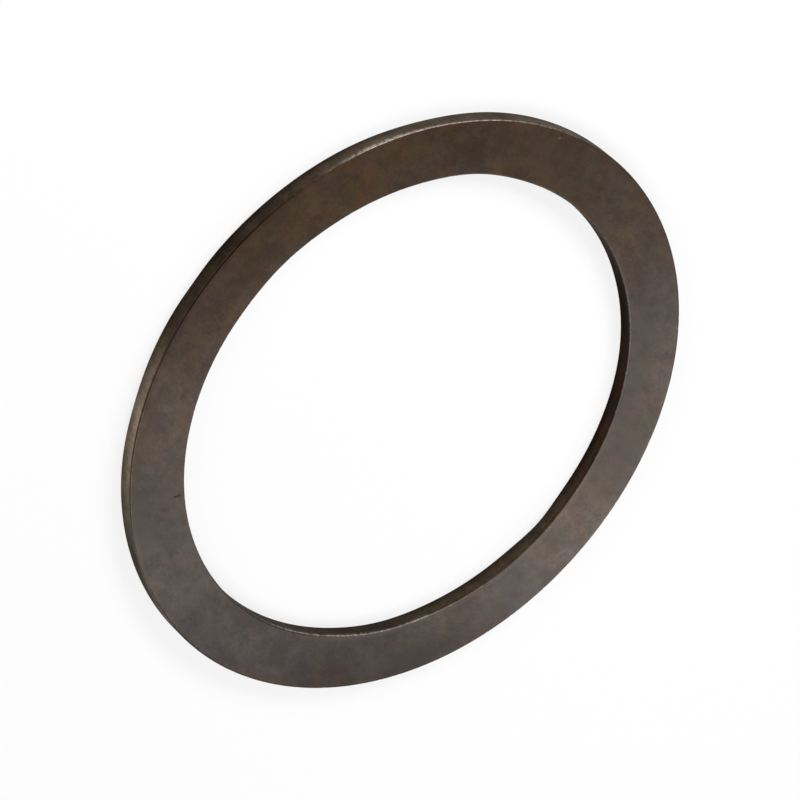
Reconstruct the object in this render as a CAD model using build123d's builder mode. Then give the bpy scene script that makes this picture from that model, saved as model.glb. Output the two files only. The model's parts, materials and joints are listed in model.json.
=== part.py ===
"""A flat steel shim ring: the spacer that takes up end play beside a bearing or a circlip.

It is one piece, blanked out of cold-rolled steel strip. The blanking tool draws the two edges
on its own side over into a soft round, the die roll. The burr that it leaves on the other side is
broken to a small chamfer. The ring lies in the XY plane with its axis on +Z and its rolled edges
up. Its bottom face is at Z = 0, and the origin is the centre of that face. Lengths are in millimetres.
"""

import os

from build123d import *

# Driving dimensions
bore_diameter = 55.0  # the shaft that passes through the ring
radial_width = 6.5  # from the bore wall out to the rim wall, which makes the ring 68 mm across
thickness = 2.0  # the gap that the ring fills between two parts
die_roll_radius = 0.2  # the round on the upper edges of the rim and the bore
burr_chamfer = 0.1  # the broken lower edges of the rim and the bore

# Sizes that follow from them
bore_radius = bore_diameter / 2
rim_radius = bore_radius + radial_width

os.makedirs("parts", exist_ok=True)

with BuildPart() as shim_ring:
    with BuildSketch(Plane.XY) as blank:
        Circle(rim_radius)
        Circle(bore_radius, mode=Mode.SUBTRACT)
    extrude(amount=thickness)
    fillet(shim_ring.edges().group_by(Axis.Z)[-1], radius=die_roll_radius)
    chamfer(shim_ring.edges().group_by(Axis.Z)[0], length=burr_chamfer)

shim_ring.part.label = "shim_ring"
export_step(shim_ring.part, "parts/shim_ring.step")
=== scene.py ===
# %% [markdown]
# # A shim ring of oiled, blackened spring steel
#
# This lesson dresses one small machine part: a flat ring, 68 mm across and 2 mm thick, that fills the
# gap beside a bearing. The engineering model arrives first, as a frame that is never moved. Blender
# then adds what a punch, a tumbling drum and a blackening bath leave on the steel.

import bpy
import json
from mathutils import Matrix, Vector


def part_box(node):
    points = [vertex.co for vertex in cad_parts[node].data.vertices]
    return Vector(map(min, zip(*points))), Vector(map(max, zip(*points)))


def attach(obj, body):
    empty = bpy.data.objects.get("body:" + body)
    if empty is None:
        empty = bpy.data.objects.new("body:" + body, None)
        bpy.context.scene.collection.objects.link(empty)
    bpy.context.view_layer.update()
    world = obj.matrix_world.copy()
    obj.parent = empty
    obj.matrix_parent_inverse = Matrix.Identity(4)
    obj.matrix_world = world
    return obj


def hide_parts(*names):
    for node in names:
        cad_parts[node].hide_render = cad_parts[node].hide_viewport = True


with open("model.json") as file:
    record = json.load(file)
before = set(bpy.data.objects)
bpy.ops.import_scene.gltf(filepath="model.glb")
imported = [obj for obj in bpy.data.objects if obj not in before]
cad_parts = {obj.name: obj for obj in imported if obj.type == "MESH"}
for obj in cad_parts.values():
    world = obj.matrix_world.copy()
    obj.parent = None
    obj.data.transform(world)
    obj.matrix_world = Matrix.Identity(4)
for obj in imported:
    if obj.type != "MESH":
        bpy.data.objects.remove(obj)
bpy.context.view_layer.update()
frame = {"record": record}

# %% [markdown]
# ## Modules and units
#
# Blender counts in metres and a small steel part is drawn in millimetres, so one named unit turns the
# one into the other. The Standard view shows every colour as it is written, with no film curve over it.

# %% Bring in the modules and set the view
import json
import math
import random

import bmesh
import bpy
from mathutils import Matrix, Vector, kdtree, noise

MM = 0.001
scene = bpy.context.scene
scene.view_settings.view_transform = "Standard"
print("view transform:", scene.view_settings.view_transform)

# %% [markdown]
# ## The sizes of the ring
#
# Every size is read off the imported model, so that the dressed ring can't drift away from it. The two
# radii and the height of the straight wall come from the mounts, where the record states them. What is
# left over above and below that wall is the die roll and the broken burr.

# %% Read the sizes
ring_node = "shim_ring"
mounts = {mount["name"]: mount for mount in frame["record"]["mounts"]}
bore_radius = mounts["bore"]["dims"]["r_mm"] * MM
rim_radius = mounts["rim"]["dims"]["r_mm"] * MM
middle_radius = (bore_radius + rim_radius) / 2
ring_low, ring_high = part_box(ring_node)
thickness = ring_high.z - ring_low.z
wall_height = mounts["rim"]["dims"]["length_mm"] * MM
wall_middle = mounts["rim"]["pos_m"][2]
burr_chamfer = wall_middle - wall_height / 2
die_roll = thickness - wall_middle - wall_height / 2
print("broken burr and die roll, mm:", round(burr_chamfer / MM, 3), round(die_roll / MM, 3))

# %% [markdown]
# ## The camera
#
# So flat a part is best shown through a long lens from well away, because the near and the far side of
# the ring then come out almost equally wide. The camera stands on the -Y side, looks down at about half
# a right angle, and is turned about its own line of sight, which tips the ring across the frame. Two
# small offsets put the ring a hair off the centre.

# %% Place the camera
lens_mm = 253.6
sensor_mm = 36.0
camera_elevation = math.radians(45.6)
camera_roll = math.radians(132.02)
camera_distance = 17.545 * rim_radius
shift_right = -0.0059 * rim_radius
shift_up = 0.0046 * rim_radius

camera_data = bpy.data.cameras.new("product_camera")
camera_data.lens = lens_mm
camera_data.sensor_width = sensor_mm
camera = bpy.data.objects.new("product_camera", camera_data)
scene.collection.objects.link(camera)
scene.camera = camera
look = Matrix.Rotation(math.pi / 2 - camera_elevation, 4, "X") @ Matrix.Rotation(camera_roll, 4, "Z")
camera.matrix_world = look @ Matrix.Translation((shift_right, shift_up, camera_distance))
print("camera at, mm:", [round(value / MM) for value in camera.matrix_world.translation])

# %% [markdown]
# ## Helpers for colours, nodes and objects
#
# Colours are written as sRGB hex values, the way a paint card gives them, and one function turns them
# into the linear numbers that Cycles works with. A second function adds any node with its settings
# and its links in one call and hands back its output, so that each material reads as a short list.

# %% Colour, node and object helpers
def linear(hex_colour):
    """The linear RGBA of an sRGB hex colour."""
    shares = [int(hex_colour[i : i + 2], 16) / 255 for i in (1, 3, 5)]
    return [c / 12.92 if c <= 0.04045 else ((c + 0.055) / 1.055) ** 2.4 for c in shares] + [1.0]


def add_node(tree, kind, settings=None, out=None, **inputs):
    """Adds a node and returns one output. An input is a number, a colour or another node's output."""
    node = tree.nodes.new(kind)
    for name, value in (settings or {}).items():
        setattr(node, name, value)
    sockets = {socket.identifier.replace(" ", "_"): socket for socket in node.inputs}
    for name, value in inputs.items():
        if isinstance(value, bpy.types.NodeSocket):
            tree.links.new(value, sockets[name])
        else:
            sockets[name].default_value = value
    if out is not None:
        return node.outputs[out]
    return next((socket for socket in node.outputs if socket.enabled), None)


def new_material(name):
    """An empty node material, and its tree."""
    material = bpy.data.materials.new(name)
    material.use_nodes = True
    material.node_tree.nodes.clear()
    return material, material.node_tree


def add_object(name, form):
    """Turns a finished bmesh into an object at the origin."""
    mesh = bpy.data.meshes.new(name)
    form.to_mesh(mesh)
    form.free()
    thing = bpy.data.objects.new(name, mesh)
    scene.collection.objects.link(thing)
    return thing


print("middle grey, #808080, as a linear number:", round(linear("#808080")[0], 3))

# %% [markdown]
# ## The paper floor
#
# The ring lies on white matt paper. The sheet is one large face a hundredth of a millimetre below the
# ring, so that the two never fight for the same depth.

# %% Lay the floor
floor_gap = 0.01 * MM
floor_reach = 4.0

floor_form = bmesh.new()
bmesh.ops.create_grid(floor_form, x_segments=1, y_segments=1, size=floor_reach)
bmesh.ops.translate(floor_form, verts=floor_form.verts, vec=(0, 0, -floor_gap))
floor = add_object("paper_floor", floor_form)
print("the floor reaches, m:", floor_reach)

# %% [markdown]
# ## Matt white paper
#
# Uncoated paper scatters light evenly to all sides, so a plain diffuse shader is enough for it. In a
# light tent it is lit a little from below as well. That share glows by itself here, but only for what
# the camera, a mirror or a glass sees, so that it bleaches the ring's shadow without lighting the ring.

# %% Make the paper
lit_from_below = 0.75

paper, tree = new_material("matt_white_paper")
scattered = add_node(tree, "ShaderNodeBsdfDiffuse", Color=linear("#F8F8F8"))
glow = add_node(tree, "ShaderNodeEmission", Color=linear("#FFFFFF"), Strength=1.0)
seen = add_node(tree, "ShaderNodeLightPath", out="Is Camera Ray")
for kind_of_ray in ("Is Glossy Ray", "Is Transmission Ray"):
    other = add_node(tree, "ShaderNodeLightPath", out=kind_of_ray)
    seen = add_node(tree, "ShaderNodeMath", {"operation": "MAXIMUM"}, Value=seen, Value_001=other)
glowing = add_node(tree, "ShaderNodeMath", {"operation": "MULTIPLY"}, Value=seen, Value_001=lit_from_below)
paper_look = add_node(tree, "ShaderNodeMixShader", Fac=glowing, Shader=scattered, Shader_001=glow)
add_node(tree, "ShaderNodeOutputMaterial", Surface=paper_look)
floor.data.materials.append(paper)
print("nodes in the paper:", len(tree.nodes))

# %% [markdown]
# ## Three softboxes
#
# Dark, satin steel shows its lamps rather than its colour, so their places matter as much as for a
# watch. Three large softboxes light the ring from three sides. Distances and sizes are in metres, and
# each strength is a radiance, where 1 is as bright as white paper.

# %% Set the softboxes
def softbox(name, place, target, size, radiance):
    """An area lamp at a place, facing a target, with its brightness given as radiance."""
    data = bpy.data.lights.new(name, "AREA")
    data.shape = "RECTANGLE"
    data.size, data.size_y = size
    data.energy = radiance * math.pi * size[0] * size[1]
    lamp = bpy.data.objects.new(name, data)
    lamp.location = place
    lamp.rotation_euler = (Vector(place) - Vector(target)).to_track_quat("Z", "Y").to_euler()
    lamp.visible_camera = False
    scene.collection.objects.link(lamp)


def around(azimuth, elevation, distance):
    """A point at an azimuth and an elevation, in degrees, and a distance from the ring."""
    turn = math.radians(azimuth)
    slope = math.radians(elevation)
    flat = distance * math.cos(slope)
    return Vector((flat * math.cos(turn), flat * math.sin(turn), distance * math.sin(slope)))


centre = Vector((0, 0, 0))
softbox("side_softbox", around(198, 36, 0.35), centre, (0.28, 0.14), 7.9)
softbox("high_softbox", around(20, 64, 0.50), centre, (0.30, 0.30), 3.9)
softbox("low_softbox", around(300, 26, 0.45), centre, (0.30, 0.20), 2.8)
print("softboxes:", len(bpy.data.lights))

# %% [markdown]
# ## Five cards
#
# Five small cards hang low behind the ring, where the camera sees them mirrored in the flat face. They
# make one half of the face pale and leave the other half deep brown. A card is placed by the spot on the
# face where its mirror image lies, because that is what the eye follows.

# %% Hang the cards and fill the air
card_height = 0.10
eye_height = camera.matrix_world.translation.z
eye_back = -camera.matrix_world.translation.y


def card(name, x, y, size, radiance):
    """A small lamp whose mirror image, for the camera, lies at (x, y) on the face of the ring."""
    step = card_height / eye_height
    place = (x * (1 + step), y + (y + eye_back) * step, card_height)
    softbox(name, place, (x, y, 0), size, radiance)


card("back_card", 0.000, 0.040, (0.022, 0.022), 5.0)
card("back_left_card", -0.020, 0.035, (0.022, 0.022), 4.4)
card("left_card", -0.035, 0.020, (0.022, 0.022), 1.5)
card("middle_card", 0.010, 0.016, (0.020, 0.020), 1.7)
card("front_card", 0.030, -0.012, (0.052, 0.030), 1.9)

air_strength = 0.10
world = bpy.data.worlds.new("studio_air")
world.use_nodes = True
background = world.node_tree.nodes["Background"]
background.inputs["Color"].default_value = linear("#FFFFFF")
background.inputs["Strength"].default_value = air_strength
scene.world = world
print("lamps in all:", len(bpy.data.lights))

# %% [markdown]
# ## The blanked ring
#
# A punch shears this ring out of strip in one stroke. The edges on the punch side are drawn over into
# a soft round, and the burr on the other side is broken off. It could be a thick circle with two
# booleans, but a turned section gives clean rows of faces. So four corners are joined, spun once round
# the axis in fine steps and merged, and the circles at the top and bottom are bevelled afterwards.

# %% Spin the section and bevel its edges
steps_a_degree = 6
roll_segments = 5

form = bmesh.new()
corner_places = [(bore_radius, 0), (rim_radius, 0), (rim_radius, thickness), (bore_radius, thickness)]
corners = [form.verts.new((across, 0, up)) for across, up in corner_places]
sides = [form.edges.new((corners[i - 1], corners[i])) for i in range(4)]
bmesh.ops.spin(form, geom=corners + sides, cent=(0, 0, 0), axis=(0, 0, 1), dvec=(0, 0, 0),
               angle=2 * math.pi, steps=360 * steps_a_degree, use_merge=True, use_duplicate=False)
bmesh.ops.remove_doubles(form, verts=form.verts, dist=0.001 * MM)
bmesh.ops.recalc_face_normals(form, faces=form.faces)


def is_near(a, b):
    """Whether two lengths differ by less than a thousandth of a millimetre."""
    return abs(a - b) < 0.001 * MM


def runs_round(edge):
    """Whether an edge keeps one radius and one height, like a piece of a hoop."""
    a, b = edge.verts
    return is_near(a.co.z, b.co.z) and is_near(a.co.xy.length, b.co.xy.length)


def hoops_at(height):
    """The edges that run round the ring at a height."""
    return [edge for edge in form.edges if runs_round(edge) and is_near(edge.verts[0].co.z, height)]


bevel = dict(offset_type="OFFSET", profile=0.5, affect="EDGES", material=-1)
bmesh.ops.bevel(form, geom=hoops_at(thickness), offset=die_roll, segments=roll_segments, **bevel)
bmesh.ops.bevel(form, geom=hoops_at(0), offset=burr_chamfer, segments=1, **bevel)
print("faces after the bevels:", len(form.faces))

# %% [markdown]
# ## Rows for the shading and for the dents
#
# The two faces and the two walls are still single bands. An inset lays a narrow row beside each
# rounded edge, which keeps the flat part flat in the smooth shading. The rest of each band is then
# divided into even rows, so that colour and dents have corners to hang on.

# %% Divide the flats and the walls
guard_row = 0.04 * MM


def divide(test, rows):
    """Lays a guard row along both sides of a band, and cuts what is left into rows."""
    faces = [face for face in form.faces if all(test(vert.co) for vert in face.verts)]
    bmesh.ops.inset_region(form, faces=faces, thickness=guard_row, use_boundary=True, use_even_offset=True)
    crossing = {edge for face in faces for edge in face.edges if not runs_round(edge)}
    bmesh.ops.subdivide_edges(form, edges=list(crossing), cuts=rows - 1, use_grid_fill=True)


divide(lambda co: is_near(co.z, thickness), rows=12)
divide(lambda co: is_near(co.z, 0), rows=2)
divide(lambda co: is_near(co.xy.length, rim_radius), rows=6)
divide(lambda co: is_near(co.xy.length, bore_radius), rows=4)
print("faces after the rows:", len(form.faces))

# %% [markdown]
# ## Finding a place on the ring
#
# All wear is written by where it lies: an azimuth round the ring, and a distance from the nearer edge.
# Wear also has no outline. It fades, so every mark is a soft hump, strong in its middle and gone a few
# half-widths away. These few helpers answer for any point how far it lies from a mark.

# %% Measure round the ring
def hump(away, half_width):
    """A soft hump: 1 in the middle, about a third one half-width away, and 0 far away."""
    return math.exp(-((away / half_width) ** 2))


def turned_from(co, azimuth):
    """How many degrees of azimuth lie between a point and an azimuth."""
    return (math.degrees(math.atan2(co.y, co.x)) - azimuth + 180) % 360 - 180


def is_rim(co):
    """Whether a point belongs to the outer half of the ring."""
    return co.xy.length > middle_radius


def inset_of(co):
    """How far a point lies inside the nearer of the rim and the bore."""
    return min(rim_radius - co.xy.length, co.xy.length - bore_radius)


def across_roll(co):
    """Where a point lies across the die roll, from -1 at the wall to 1 at the face."""
    return (inset_of(co) - (thickness - co.z)) / die_roll


rim_corner = Vector((rim_radius, 0, thickness - die_roll))
print("where the round leaves the wall:", round(across_roll(rim_corner), 2))

# %% [markdown]
# ## Wear and painted light on the walls
#
# Rings knock against each other and roll on their rims in the drum. Where a ring has leaned, the black
# skin of the wall is burnished to a paler brown. The same burnish also paints a reflection: it is paler
# where a wall faces a lamp, and paler towards the top, which paints shade at the foot. The foot of a
# wall is painted darker as well, as painted shade, and so is the whole bore wall at one place. A breath
# of rust shows where the oil is thin. Vertex attributes hold all of this, and the material reads them
# later. Only corners of the mesh within a hundredth of a millimetre of a wall are marked here. A patch
# is written as an azimuth, half its width, its strength and, for the painted shade at the foot, the
# share of the wall that it climbs. A burnish a little below 0 paints a place darker than the rest.

# %% Burnish, darken and rust the walls, and paint their light and shade
# Burnish patches: partly real burnish, partly painted reflection where the wall faces a lamp.
rim_burnish_and_reflection = [(200, 9, 0.20), (217, 8, 0.12), (237, 15, 0.30), (259, 9, 0.08), (285, 8, 0.09),
               (302, 10, 0.78), (316, 11, 0.46), (345, 8, -0.02), (30, 24, 0.30), (96, 34, 0.20),
               (150, 18, 0.35)]
bore_burnish_and_reflection = [(30, 20, -0.03), (76, 28, 0.16), (240, 60, 0.08)]
rim_rust = [(272, 20, 0.30), (120, 30, 0.40)]
bore_rust = [(135, 45, 1.00), (300, 40, 0.60)]
# Painted shade: the foot of each wall is darker, and at 158 degrees the whole bore wall.
rim_foot_painted_shade = [(245, 14, 0.50, 0.38), (270, 16, 0.80, 0.38), (80, 40, 0.80, 0.38)]
bore_foot_painted_shade = [(50, 25, 0.50, 0.38), (85, 25, 0.50, 0.38), (118, 20, 0.90, 0.38), (158, 22, 1.30, 1.10),
               (280, 50, 0.80, 0.38)]
wall_margin = 0.01 * MM
burnish_at_foot = 0.4
most_burnish = 1.1

sheared = form.verts.layers.float.new("sheared_wall")
burnished_or_lit = form.verts.layers.float.new("burnished_wall")
rusted = form.verts.layers.float.new("rusted_wall")
stained_or_shaded = form.verts.layers.float.new("dried_oil")


def covered(co, patches):
    """What a list of patches adds up to at a point, by its azimuth alone."""
    return sum(part * hump(turned_from(co, azimuth), width) for azimuth, width, part in patches)


def painted_shade_at_foot(co, patches):
    """How much painted shade at the foot of a wall covers a point."""
    height = co.z / thickness
    return sum(part * hump(turned_from(co, azimuth), width) * hump(height, reach)
               for azimuth, width, part, reach in patches)


for vert in form.verts:
    on_rim = is_rim(vert.co)
    # Paler towards the top of the wall, which paints shade at its foot.
    climb = min(most_burnish, vert.co.z / thickness + burnish_at_foot)
    vert[sheared] = 1.0 if inset_of(vert.co) < wall_margin else 0.0
    vert[burnished_or_lit] = vert[sheared] * climb * covered(vert.co, rim_burnish_and_reflection if on_rim else bore_burnish_and_reflection)
    vert[rusted] = vert[sheared] * min(1.0, covered(vert.co, rim_rust if on_rim else bore_rust))
    # Painted shade: darker towards the foot of the wall.
    vert[stained_or_shaded] = vert[sheared] * painted_shade_at_foot(vert.co, rim_foot_painted_shade if on_rim else bore_foot_painted_shade)
print("corners on the walls:", sum(vert[sheared] > 0 for vert in form.verts))

# %% [markdown]
# ## Wear and painted light on the rolled edges
#
# The rolled edge meets its neighbours first, so it is rubbed down to bare steel in places. The rubs
# break up into small beads, because only the high spots of the edge touch. The rubs also paint a
# highlight: they make the edge line bright where a lamp is mirrored in it. The even sheens along the
# edges are painted highlight alone, and the dark lines along them are painted shade, where the round
# mirrors something dark. A mark on an edge is written as an azimuth, half its width, its strength, its
# lean and half its height. The lean is -1 where the round leaves the wall and 1 where it meets the face.

# %% Rub the rolled edges, and paint highlights and shade on them
# Rubs: real beaded wear, and painted highlight where a lamp is mirrored in the edge.
rim_rubs_and_highlight = [(206, 13, 0.42, 0.2, 0.5), (222, 7, 0.17, 0.1, 0.5), (231, 6, 0.75, -0.6, 0.4),
            (239, 6, 1.00, -0.7, 0.7)]
bore_rubs_and_highlight = [(20, 9, 0.66, -0.6, 0.45), (33, 8, 0.80, -0.7, 0.4), (53, 4, 0.70, -0.7, 0.35)]
# Painted highlight along the edges.
rim_painted_highlight = [(60, 40, 0.06, 0.0, 0.8), (130, 25, 0.09, 0.0, 0.8), (335, 10, 0.16, 0.4, 0.8)]
bore_painted_highlight = [(84, 24, 0.33, 0.5, 0.6), (40, 14, 0.14, 0.6, 0.6), (156, 16, 0.13, 0.5, 0.6),
              (280, 50, 0.03, 0.0, 0.8)]
# Painted shade: dark lines where the round mirrors something dark.
rim_edge_painted_shade = [(280, 28, 1.2, 0.2, 0.75)]
bore_edge_painted_shade = [(105, 28, 0.35, -1.1, 0.6)]
bead_length = 0.32 * MM
bead_contrast = 2.5
rubbed_between_beads = 0.4

bare_or_highlit = form.verts.layers.float.new("bare_steel")


def marked(co, marks):
    """How strongly the marks of an edge cover a point."""
    total = 0.0
    for azimuth, half_width, strength, lean, half_height in marks:
        beside = hump(turned_from(co, azimuth), half_width)
        total += strength * beside * hump(across_roll(co) - lean, half_height)
    return min(1.0, total)


for vert in form.verts:
    beads = max(0.0, min(1.0, noise.noise(vert.co / bead_length) * bead_contrast + 0.5))
    on_rim = is_rim(vert.co)
    beaded_and_highlit = marked(vert.co, rim_rubs_and_highlight if on_rim else bore_rubs_and_highlight) * (rubbed_between_beads + beads)
    # Bare steel and painted highlight are held in one attribute.
    vert[bare_or_highlit] = min(1.0, beaded_and_highlit + marked(vert.co, rim_painted_highlight if on_rim else bore_painted_highlight))
    # Painted shade along the edges, added to the dried oil.
    vert[stained_or_shaded] = min(1.0, vert[stained_or_shaded] + marked(vert.co, rim_edge_painted_shade if on_rim else bore_edge_painted_shade))
print("corners rubbed at least half bare:", sum(vert[bare_or_highlit] > 0.5 for vert in form.verts))

# %% [markdown]
# ## Drift of the skin, and painted reflection on the face
#
# The bath works faster where the steel was cleaner, so broad parts of the face come out a little paler
# or darker, and a little warmer or colder. The same patches also paint the reflections of the lamps:
# paler and colder where a lamp is mirrored in the face, darker where none is. Each is written as an
# azimuth, half its width in degrees, its place across the face from 0 at the bore to 1 at the rim, half
# its width there, how much paler it is, and how much warmer. A thumb has also wiped some of the oil off
# one place, so that the warm brown under it shows more. That patch ends with the change in the oil.

# %% Let the skin drift, and paint the reflections on the face
# Tone drift of the skin, and painted reflection on the face.
skin_and_reflection_patches = [(22, 42, 0.5, 2.0, 0.0, -0.85), (320, 30, 0.5, 2.0, 0.0, -0.26),
                (118, 18, 0.6, 0.5, 0.35, 0.75), (92, 10, 0.6, 2.0, 0.80, -0.30),
                (78, 6, 0.5, 1.0, -0.45, 0.25), (114, 12, 0.65, 0.5, -0.65, 0.0),
                (132, 18, 0.2, 0.4, -0.35, -0.15), (255, 24, 0.5, 1.0, 0.14, 0.10),
                (52, 8, 0.8, 0.4, -0.55, 0.15), (55, 9, 0.2, 0.3, 0.30, -0.25),
                (304, 10, 0.5, 0.5, 0.85, -0.30), (325, 9, 0.8, 0.35, -0.60, 0.85),
                (342, 7, 0.75, 0.25, 0.75, -0.15), (352, 14, 0.8, 0.5, -0.50, 0.10),
                (15, 14, 0.3, 0.3, 0.30, -0.15), (163, 10, 0.2, 0.5, 0.40, -0.15),
                (90, 7, 0.85, 0.25, 0.45, -0.50), (131, 9, 0.9, 0.30, 0.55, -0.95),
                (70, 5, 0.1, 0.25, 0.45, -0.15), (216, 9, 0.1, 0.20, 0.50, -0.35),
                (268, 24, 0.1, 0.18, 0.40, -0.50)]
oil_patches = [(118, 16, 0.6, 0.5, -0.18)]

paled_or_lit = form.verts.layers.float.new("paler_skin")
warmed = form.verts.layers.float.new("warmer_skin")
oiled = form.verts.layers.float.new("change_of_oil")
for vert in form.verts:
    across = (vert.co.xy.length - bore_radius) / (rim_radius - bore_radius)
    for azimuth, width, spot, reach, paler, warmer in skin_and_reflection_patches:
        share = hump(turned_from(vert.co, azimuth), width) * hump(across - spot, reach)
        vert[paled_or_lit] += share * paler
        vert[warmed] += share * warmer
    for azimuth, width, spot, reach, change in oil_patches:
        vert[oiled] += hump(turned_from(vert.co, azimuth), width) * hump(across - spot, reach) * change
print("skin drifts from", round(min(vert[paled_or_lit] for vert in form.verts), 2), "to",
      round(max(vert[paled_or_lit] for vert in form.verts), 2))

# %% [markdown]
# ## A scratch, a stain and a speck
#
# A sharp corner once caught the face and left two short grooves in line, which dried oil has filled
# since. One dull stain lies further round, and a speck beside the rim has been knocked bright. The rows
# of the face are too coarse for marks this small, so they are cut finer round each mark before any
# vertex is pushed down. A mark is written as an azimuth, then as its radius, half its length outwards,
# half its width and its depth, all four in millimetres, and then as its shares of dried oil and of bare
# steel.

# %% Scratch the face
face_marks = [(323.35, 28.25, 0.22, 0.11, 0.020, 0.75, 0.0), (323.35, 28.68, 0.18, 0.12, 0.015, 0.70, 0.0),
              (299.7, 29.60, 0.30, 0.30, 0.003, 0.30, 0.0), (198.6, 33.15, 0.12, 0.12, 0.004, 0.0, 0.30)]
mark_reach = 0.8 * MM
finer_cuts = 5


def outward_at(turn):
    """The direction from the axis of the ring towards an azimuth, in radians."""
    return Vector((math.cos(turn), math.sin(turn), 0))


def cut_finer(place):
    """Cuts the rows of the face round a place into much finer rows."""
    near = {vert for vert in form.verts
            if is_near(vert.co.z, thickness) and (vert.co - place).length < mark_reach}
    crossing = [edge for edge in form.edges if not runs_round(edge) and near.issuperset(edge.verts)]
    bmesh.ops.subdivide_edges(form, edges=crossing, cuts=finer_cuts, use_grid_fill=True)


for azimuth, mark_radius, half_length, half_width, depth, oily, bright in face_marks:
    outward = outward_at(math.radians(azimuth))
    mark_place = outward * mark_radius * MM + Vector((0, 0, thickness))
    cut_finer(mark_place)
    for vert in form.verts:
        away = vert.co - mark_place
        if away.length < mark_reach:
            along = away.dot(outward)
            beside = (away - outward * along).length
            share = hump(along, half_length * MM) * hump(beside, half_width * MM)
            vert.co.z -= depth * MM * share
            vert[stained_or_shaded] = min(1.0, vert[stained_or_shaded] + oily * share)
            vert[bare_or_highlit] = min(1.0, vert[bare_or_highlit] + bright * share)
print("faces after the scratch:", len(form.faces))

# %% [markdown]
# ## Nicks
#
# The harder knocks leave shallow nicks along the rolled edges. They are real dents in the mesh: each
# one finds the corners of the round near a random place and pushes them in, most at its middle, and
# leaves them a little brighter where neither dried oil nor painted shade lies.

# %% Nick the rolled edges
nick_reach_mm = (0.15, 0.30)
nick_depth_mm = (0.005, 0.025)
nick_width_on_roll = 0.8
nick_shine = 0.15

random.seed(12)
form.verts.ensure_lookup_table()
neighbours = kdtree.KDTree(len(form.verts))
for vert in form.verts:
    neighbours.insert(vert.co, vert.index)
neighbours.balance()


def nick_edge(radius, side, count):
    """Scatters nicks along the rolled edge of the rim (side 1) or of the bore (side -1)."""
    corner = die_roll * (1 - math.sqrt(0.5))
    dented = set()
    for _ in range(count):
        outward = outward_at(random.uniform(0, 2 * math.pi))
        place = outward * (radius - side * corner) + Vector((0, 0, thickness - corner))
        reach = random.uniform(*nick_reach_mm) * MM
        depth = random.uniform(*nick_depth_mm) * MM
        push = -(side * outward + Vector((0, 0, 1))).normalized()
        for co, index, distance in neighbours.find_range(place, reach):
            vert = form.verts[index]
            share = (1 - (distance / reach) ** 2) ** 2 * hump(across_roll(co), nick_width_on_roll)
            vert.co += push * depth * share
            vert[bare_or_highlit] = min(1.0, vert[bare_or_highlit] + nick_shine * share * (1 - vert[stained_or_shaded]))
            dented.add(index)
    print("corners of the round that nicks touch:", len(dented))


nick_edge(rim_radius, 1, 90)
nick_edge(bore_radius, -1, 70)

# %% [markdown]
# ## Uneven edges
#
# The corners were never machined. The punch and the drum took a little more off in some places than in
# others, up to three tenths of a millimetre where the burr was broken. Each such place is written as an
# azimuth, half its width and how many millimetres the edge lies inside its true circle.

# %% Draw the edges in
rim_top_loss = [(102, 32, 0.15)]
bore_top_loss = [(215, 10, 0.19), (265, 10, 0.14), (290, 12, 0.06)]
rim_foot_loss = [(228, 11, 0.18), (279, 4, 0.09), (303, 8, 0.13)]
bore_foot_loss = [(45, 10, 0.12), (90, 6, 0.30), (135, 16, 0.13)]
loss_depth = 0.45 * MM
loss_reach = 1.0 * MM

most_loss = 0.0
for vert in form.verts:
    on_rim = is_rim(vert.co)
    top_loss = covered(vert.co, rim_top_loss if on_rim else bore_top_loss)
    foot_loss = covered(vert.co, rim_foot_loss if on_rim else bore_foot_loss)
    drawn = top_loss * hump(thickness - vert.co.z, loss_depth) + foot_loss * hump(vert.co.z, loss_depth)
    loss = drawn * MM * hump(inset_of(vert.co), loss_reach)
    vert.co -= vert.co.xy.normalized().to_3d() * (loss if on_rim else -loss)
    most_loss = max(most_loss, loss)
print("the edges are drawn in by up to, mm:", round(most_loss / MM, 2))

# %% [markdown]
# ## From the form to the object
#
# The rounds are shaded smooth, so that a lamp runs along them as one clean line. Only the broken burr
# has corners sharp enough to stay hard edges. The form then becomes one piece at the origin.

# %% Shade the form and make it an object
sharp_angle = math.radians(30)
for edge in form.edges:
    edge.smooth = edge.calc_face_angle(0) < sharp_angle
for face in form.faces:
    face.smooth = True
ring = add_object("blanked_ring", form)
print("triangles:", sum(len(face.vertices) - 2 for face in ring.data.polygons))

# %% [markdown]
# ## Blackened steel
#
# The common name is black-oxide finish on spring steel. A hot salt bath turns the skin to magnetite,
# which is dark, a little brown, and half way between a metal and a mineral. Oil then seals it. The eye
# gets a deep brown that turns pale grey where a lamp is mirrored in the oil. The skin is never even, so
# it starts from three clouds of noise: one from cold grey to rust, one from olive to violet, and one
# from dark to pale that is mottled down to a fraction of a millimetre. The strip was rolled before it
# was punched, so all the clouds are drawn out a little along the rolling direction, which is Y here.

# %% Prepare the clouds
drawn_out = 1.4

steel, tree = new_material("oiled_black_oxide")
object_place = add_node(tree, "ShaderNodeTexCoord", out="Object")
rolled_place = add_node(tree, "ShaderNodeVectorMath", {"operation": "MULTIPLY"}, Vector=object_place,
                        Vector_001=(1.0, 1.0 / drawn_out, 1.0))


def clouds(size_mm, detail, gain, swing, seed):
    """Soft noise whose largest clouds have a size in millimetres, stretched to run from 0 to 1."""
    raw = add_node(tree, "ShaderNodeTexNoise", {"noise_dimensions": "4D"}, Vector=rolled_place, W=seed,
                   Scale=1 / (size_mm * MM), Detail=detail, Roughness=gain)
    return add_node(tree, "ShaderNodeMapRange", Value=raw, From_Min=0.5 - swing, From_Max=0.5 + swing)


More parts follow.
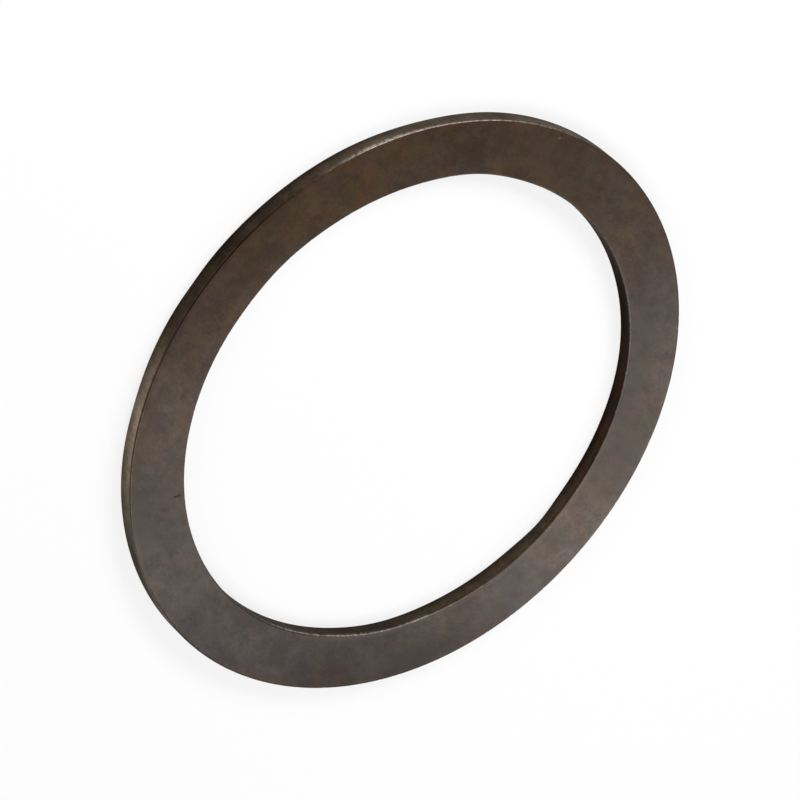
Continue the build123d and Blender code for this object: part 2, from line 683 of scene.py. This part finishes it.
warmth = clouds(size_mm=2.6, detail=2.0, gain=0.75, swing=0.22, seed=1.0)
tint = clouds(size_mm=2.0, detail=2.0, gain=0.75, swing=0.18, seed=2.0)
mottle = clouds(size_mm=7.0, detail=5.0, gain=0.95, swing=0.09, seed=3.0)
print("nodes so far:", len(tree.nodes))

# %% [markdown]
# ## The colour of the skin
#
# The clouds choose between pairs of close shades. A share may pass 0 or 1, and then the colour goes on
# past its shade, so that the drift can reach a colder grey than either. The steel is also a little
# warmer beside the rim, where it was worked hardest.

# %% Mix the colour of the skin
warmest = 1.3  # past this share the mix would have less than no blue
rim_warmth = 0.4
warm_band = (0.9 * MM, 0.2 * MM)
laid_over = {"data_type": "RGBA", "blend_type": "MIX", "clamp_factor": False}
tinted_by = {"data_type": "RGBA", "blend_type": "MULTIPLY", "clamp_factor": False}

flat_place = add_node(tree, "ShaderNodeVectorMath", {"operation": "MULTIPLY"}, Vector=object_place,
                      Vector_001=(1.0, 1.0, 0.0))
from_axis = add_node(tree, "ShaderNodeVectorMath", {"operation": "LENGTH"}, out="Value", Vector=flat_place)
near_rim = add_node(tree, "ShaderNodeMapRange", Value=from_axis, From_Min=rim_radius - warm_band[0],
                    From_Max=rim_radius - warm_band[1], To_Max=rim_warmth)

warm_drift = add_node(tree, "ShaderNodeAttribute", {"attribute_name": "warmer_skin"}, out="Fac")
pale_drift_and_reflection = add_node(tree, "ShaderNodeAttribute", {"attribute_name": "paler_skin"}, out="Fac")
drifted = add_node(tree, "ShaderNodeMath", {"operation": "ADD"}, Value=warmth, Value_001=warm_drift)
warm_share = add_node(tree, "ShaderNodeMath", {"operation": "MINIMUM"}, Value=drifted, Value_001=warmest)
grey_or_rusty = add_node(tree, "ShaderNodeMix", laid_over, Factor_Float=warm_share,
                         A_Color=linear("#3E2E21"), B_Color=linear("#452E0D"))
worked = add_node(tree, "ShaderNodeMix", laid_over, Factor_Float=near_rim, A_Color=grey_or_rusty,
                  B_Color=linear("#4A2B0C"))
violet_or_olive = add_node(tree, "ShaderNodeMix", laid_over, Factor_Float=tint,
                           A_Color=linear("#FFEAFF"), B_Color=linear("#F0FFE8"))
tinted = add_node(tree, "ShaderNodeMix", tinted_by, Factor_Float=1.0, A_Color=worked,
                  B_Color=violet_or_olive)
mottled = add_node(tree, "ShaderNodeMapRange", Value=mottle, To_Min=0.75, To_Max=1.33)
# The pale drift also paints the reflections on the face.
shade = add_node(tree, "ShaderNodeMath", {"operation": "MULTIPLY_ADD"}, Value=mottled, Value_001=pale_drift_and_reflection,
                 Value_002=mottled)
skin = add_node(tree, "ShaderNodeHueSaturation", Color=tinted, Value=shade)
print("nodes so far:", len(tree.nodes))

# %% [markdown]
# ## Torn walls
#
# The punch tore the walls open rather than rolled them. So they are matt, hold no film of oil, and carry
# fine lines in the direction in which the punch went through. Burnished places show the paler steel
# colour, which is also a painted reflection where the wall faces a lamp, and rusted ones a dull reddish
# brown. The attributes of the wear and of the painted light say which place is which.

# %% Mix the colour of the walls
line_width = 0.25 * MM
squeezed_along_punch = 0.12  # the lines run about eight times as far as they are wide

wall_share = add_node(tree, "ShaderNodeAttribute", {"attribute_name": "sheared_wall"}, out="Fac")
burnish_or_lit = add_node(tree, "ShaderNodeAttribute", {"attribute_name": "burnished_wall"}, out="Fac")
rust = add_node(tree, "ShaderNodeAttribute", {"attribute_name": "rusted_wall"}, out="Fac")
torn_place = add_node(tree, "ShaderNodeVectorMath", {"operation": "MULTIPLY"}, Vector=object_place,
                      Vector_001=(1.0, 1.0, squeezed_along_punch))
shear_lines = add_node(tree, "ShaderNodeTexNoise", Vector=torn_place, Scale=1 / line_width, Detail=2.0)
rusty = add_node(tree, "ShaderNodeMix", laid_over, Factor_Float=rust, A_Color=linear("#3D3328"),
                 B_Color=linear("#463428"))
# The burnished colour is also a painted reflection where the wall faces a lamp.
torn = add_node(tree, "ShaderNodeMix", laid_over, Factor_Float=burnish_or_lit, A_Color=rusty,
                B_Color=linear("#8F8270"))
wall_tint = add_node(tree, "ShaderNodeMix", laid_over, Factor_Float=tint, A_Color=linear("#FFECF8"),
                     B_Color=linear("#F6FFEE"))
torn_tinted = add_node(tree, "ShaderNodeMix", tinted_by, Factor_Float=1.0, A_Color=torn, B_Color=wall_tint)
lines = add_node(tree, "ShaderNodeMapRange", Value=shear_lines, From_Min=0.3, From_Max=0.7, To_Min=0.9,
                 To_Max=1.12)
blotches = add_node(tree, "ShaderNodeMapRange", Value=mottle, To_Min=0.72, To_Max=1.30)
wall_shade = add_node(tree, "ShaderNodeMath", {"operation": "MULTIPLY"}, Value=lines, Value_001=blotches)
torn_lined = add_node(tree, "ShaderNodeHueSaturation", Color=torn_tinted, Value=wall_shade)
print("nodes so far:", len(tree.nodes))

# %% [markdown]
# ## Bare steel and painted highlight, dried oil and painted shade
#
# The marks are laid over the skin and the walls alike: bare steel, which is a light warm grey and also
# paints the highlights on the edges, and then dried oil, which is nearly black, covers even bare steel,
# and also paints the shade at the feet of the walls and along some edges.

# %% Lay the walls and the marks over the skin
bare_or_highlit_share = add_node(tree, "ShaderNodeAttribute", {"attribute_name": "bare_steel"}, out="Fac")
stain_or_shade_share = add_node(tree, "ShaderNodeAttribute", {"attribute_name": "dried_oil"}, out="Fac")
walled = add_node(tree, "ShaderNodeMix", laid_over, Factor_Float=wall_share, A_Color=skin,
                  B_Color=torn_lined)
# The bare steel colour also paints the highlights on the edges.
rubbed_or_highlit = add_node(tree, "ShaderNodeMix", laid_over, Factor_Float=bare_or_highlit_share, A_Color=walled,
                         B_Color=linear("#A9A298"))
# The dried oil colour also paints shade at the feet of the walls and along some edges.
colour = add_node(tree, "ShaderNodeMix", laid_over, Factor_Float=stain_or_shade_share, A_Color=rubbed_or_highlit,
                  B_Color=linear("#1B1209"))
print("nodes so far:", len(tree.nodes))

# %% [markdown]
# ## Gloss and grain
#
# Gloss follows the same marks. The skin is a satin metal under a film of oil, a little thinner where
# the mottle is dark or a thumb has wiped it. The torn wall is nearly matt and holds no oil, rust makes
# it duller still, and bare steel and the painted highlights are smooth. A fine grain is left to a bump:
# it is a hundredth of a millimetre deep at most, too shallow to model.

# %% Make the steel
oxide_metallic = 0.7
burnished_roughness = 0.55
torn_roughness = 0.8
rusted_roughness = 1.0
bare_roughness = 0.28
oil_roughness = 0.26
thinnest_film = 0.70
grain_size = 0.12 * MM
grain_depth = 0.01 * MM
grain_strength = 0.25

dry_share = add_node(tree, "ShaderNodeMath", {"operation": "MAXIMUM"}, Value=wall_share,
                     Value_001=stain_or_shade_share)
metal_share = add_node(tree, "ShaderNodeMath", {"operation": "MAXIMUM"}, Value=dry_share,
                       Value_001=bare_or_highlit_share)
metallic = add_node(tree, "ShaderNodeMapRange", Value=metal_share, To_Min=oxide_metallic)

torn_share = add_node(tree, "ShaderNodeMath", {"operation": "SUBTRACT", "use_clamp": True},
                      Value=wall_share, Value_001=burnish_or_lit)
satin = add_node(tree, "ShaderNodeMapRange", Value=torn_share, To_Min=burnished_roughness,
                 To_Max=torn_roughness)
crust = add_node(tree, "ShaderNodeMapRange", Value=rust, To_Min=burnished_roughness,
                 To_Max=rusted_roughness)
dull = add_node(tree, "ShaderNodeMath", {"operation": "MAXIMUM"}, Value=satin, Value_001=crust)
roughness = add_node(tree, "ShaderNodeMix", {"data_type": "FLOAT"}, Factor_Float=bare_or_highlit_share,
                     A_Float=dull, B_Float=bare_roughness)

oil_drift = add_node(tree, "ShaderNodeAttribute", {"attribute_name": "change_of_oil"}, out="Fac")
film = add_node(tree, "ShaderNodeMapRange", Value=mottle, To_Min=thinnest_film)
film_left = add_node(tree, "ShaderNodeMath", {"operation": "MULTIPLY_ADD"}, Value=film, Value_001=oil_drift,
                     Value_002=film)
oil = add_node(tree, "ShaderNodeMix", {"data_type": "FLOAT"}, Factor_Float=dry_share, A_Float=film_left,
               B_Float=0.0)

grain = add_node(tree, "ShaderNodeTexNoise", Vector=object_place, Scale=1 / grain_size, Detail=2.0)
grained = add_node(tree, "ShaderNodeBump", Height=grain, Strength=grain_strength, Distance=grain_depth)
surface = add_node(tree, "ShaderNodeBsdfPrincipled", Base_Color=colour, Metallic=metallic,
                   Roughness=roughness, Coat_Weight=oil, Coat_Roughness=oil_roughness, Normal=grained,
                   Coat_Normal=grained)
add_node(tree, "ShaderNodeOutputMaterial", Surface=surface)
ring.data.materials.append(steel)
print("nodes in the steel:", len(tree.nodes))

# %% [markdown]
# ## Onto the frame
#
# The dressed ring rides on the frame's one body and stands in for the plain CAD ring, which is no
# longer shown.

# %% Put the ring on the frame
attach(ring, "root")
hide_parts(ring_node)
